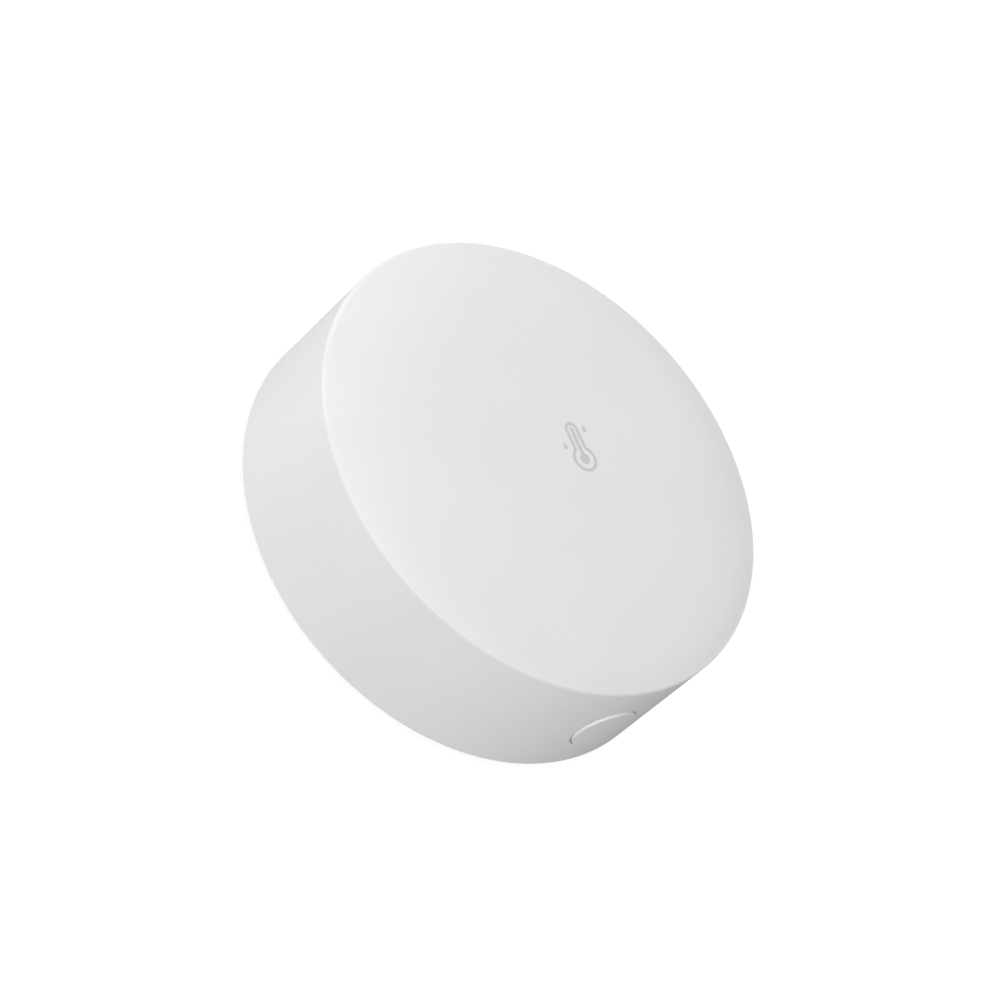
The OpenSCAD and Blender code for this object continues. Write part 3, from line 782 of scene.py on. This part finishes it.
inner_finishes = [
    (moulded_plastic("tray_grey", (0.69, 0.69, 0.67), (0.75, 0.75, 0.73), 0.55, 0.2 * MM, 0.004 * MM),
     ["battery_tray"]),
    (solder_mask("board_green", (0.03, 0.16, 0.07), (0.045, 0.21, 0.095)), ["circuit_board"]),
    (solder_mask("module_green", (0.02, 0.11, 0.06), (0.03, 0.15, 0.08)), ["radio_module"]),
    (cell_sleeve("cell_lacquer"), ["battery_1", "battery_2"]),
    (plated_metal("contact_nickel", (0.62, 0.6, 0.56), (0.75, 0.73, 0.69), 0.3, (12, 12, 1)),
     ["positive_contact", "negative_contact", "bridge_contact"]),
    (plated_metal("spring_steel", (0.55, 0.54, 0.52), (0.7, 0.69, 0.67), 0.28),
     ["negative_spring", "bridge_spring"]),
    (moulded_plastic("switch_black", (0.015,) * 3, (0.025,) * 3, 0.45, 0.15 * MM, 0.003 * MM),
     ["switch_body"]),
    (moulded_plastic("plunger_black", (0.025,) * 3, (0.045,) * 3, 0.4, 0.15 * MM, 0.003 * MM),
     ["switch_plunger"]),
    (plated_metal("tinned_sheet", (0.66, 0.66, 0.64), (0.8, 0.8, 0.78), 0.35),
     ["switch_frame", "radio_shield"]),
    (cast_resin("chip_black", (0.012, 0.012, 0.013), (0.03, 0.03, 0.031), 0.5, 0.12 * MM),
     ["radio_chip", "climate_chip", "chip_resistors"]),
    (cast_resin("chip_tan", (0.55, 0.47, 0.37), (0.65, 0.57, 0.47), 0.4, 0.1 * MM),
     ["chip_capacitors"]),
    (cast_resin("antenna_cream", (0.8, 0.79, 0.75), (0.88, 0.87, 0.83), 0.4, 0.1 * MM),
     ["chip_antenna"]),
    (cast_resin("led_cream", (0.75, 0.72, 0.6), (0.85, 0.82, 0.7), 0.2, 0.08 * MM),
     ["status_led"]),
    (plated_metal("can_bright", (0.7, 0.7, 0.7), (0.84, 0.84, 0.84), 0.25, (12, 12, 1)),
     ["buffer_capacitor", "clock_crystal"]),
    (plated_metal("screw_zinc", (0.5, 0.52, 0.55), (0.66, 0.68, 0.7), 0.32, (1, 1, 8)), ["tray_screws"]),
]
for material, names in inner_finishes:
    for name in names:
        wear(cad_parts[name], material)

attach(shell, "housing")
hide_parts("front_housing")
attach(mark, "housing")
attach(button, "button")
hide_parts("button_cap")
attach(cover, "base")
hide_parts("rear_cover")
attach(pad, "base")
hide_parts("adhesive_pad")


# Studio


def direction(azimuth, elevation):
    flat = math.cos(elevation)
    return Vector((flat * math.cos(azimuth), flat * math.sin(azimuth), math.sin(elevation)))


def seen_directly(tree):
    """1 for rays that show the background itself: straight, mirrored or through glass."""
    path = tree.nodes.new("ShaderNodeLightPath")
    mirrored = add_node(tree, "Math", {
        0: path.outputs["Is Glossy Ray"], 1: path.outputs["Is Transmission Ray"],
    }, operation="MAXIMUM")
    return add_node(tree, "Math", {
        0: path.outputs["Is Camera Ray"], 1: mirrored.outputs[0],
    }, operation="MAXIMUM").outputs[0]


def soft_room():
    """White behind the object, and even grey light from all around."""
    world = bpy.data.worlds.new("room")
    world.use_nodes = True
    bpy.context.scene.world = world
    tree = world.node_tree
    tree.nodes.clear()
    around = add_node(tree, "Background", {"Color": (1, 1, 1, 1), "Strength": ROOM})
    behind = add_node(tree, "Background", {"Color": (1, 1, 1, 1)})
    both = add_node(tree, "MixShader", {
        0: seen_directly(tree), 1: around.outputs[0], 2: behind.outputs[0],
    })
    add_node(tree, "OutputWorld", {"Surface": both.outputs[0]})


def white_floor():
    """A pale floor that the camera sees as white, with a share of its shadow."""
    bpy.ops.object.select_all(action="DESELECT")
    bpy.ops.mesh.primitive_plane_add(size=2 * FLOOR_HALF, location=(0, 0, FLOOR_Z))
    floor = bpy.context.active_object
    floor.name = "floor"
    material = bpy.data.materials.new("floor_white")
    material.use_nodes = True
    tree = material.node_tree
    tree.nodes.clear()
    paper = add_node(tree, "BsdfDiffuse", {"Color": (FLOOR_PAPER, FLOOR_PAPER, FLOOR_PAPER, 1)})
    white = add_node(tree, "Emission", {"Strength": FLOOR_GLOW})
    shadow = add_node(tree, "BsdfDiffuse", {"Color": (FLOOR_SHADE, FLOOR_SHADE, FLOOR_SHADE, 1)})
    shown = add_node(tree, "AddShader", {0: white.outputs[0], 1: shadow.outputs[0]})
    both = add_node(tree, "MixShader", {
        0: seen_directly(tree), 1: paper.outputs[0], 2: shown.outputs[0],
    })
    add_node(tree, "OutputMaterial", {"Surface": both.outputs[0]})
    floor.data.materials.append(material)


def soft_lamps():
    for name, (azimuth, elevation, power) in LAMPS.items():
        toward = direction(math.radians(azimuth), math.radians(elevation))
        data = bpy.data.lights.new(name, "AREA")
        data.shape = "DISK"
        data.size = LAMP_SIZE
        data.energy = power
        lamp = bpy.data.objects.new(name, data)
        lamp.location = toward * LAMP_DISTANCE
        lamp.rotation_euler = toward.to_track_quat("Z", "Y").to_euler()
        lamp.visible_camera = False
        lamp.visible_glossy = name in GLINTS
        bpy.context.scene.collection.objects.link(lamp)


def camera():
    toward = direction(AZIMUTH, ELEVATION)
    data = bpy.data.cameras.new("camera")
    data.lens = LENS
    data.clip_start = CLIP_START
    eye = bpy.data.objects.new("camera", data)
    eye.location = AIM + toward * DISTANCE
    eye.rotation_euler = (toward.to_track_quat("Z", "Y") @ Quaternion((0, 0, 1), ROLL)).to_euler()
    bpy.context.scene.collection.objects.link(eye)
    bpy.context.scene.camera = eye


soft_room()
white_floor()
soft_lamps()
camera()
bpy.context.scene.view_settings.view_transform = "Standard"
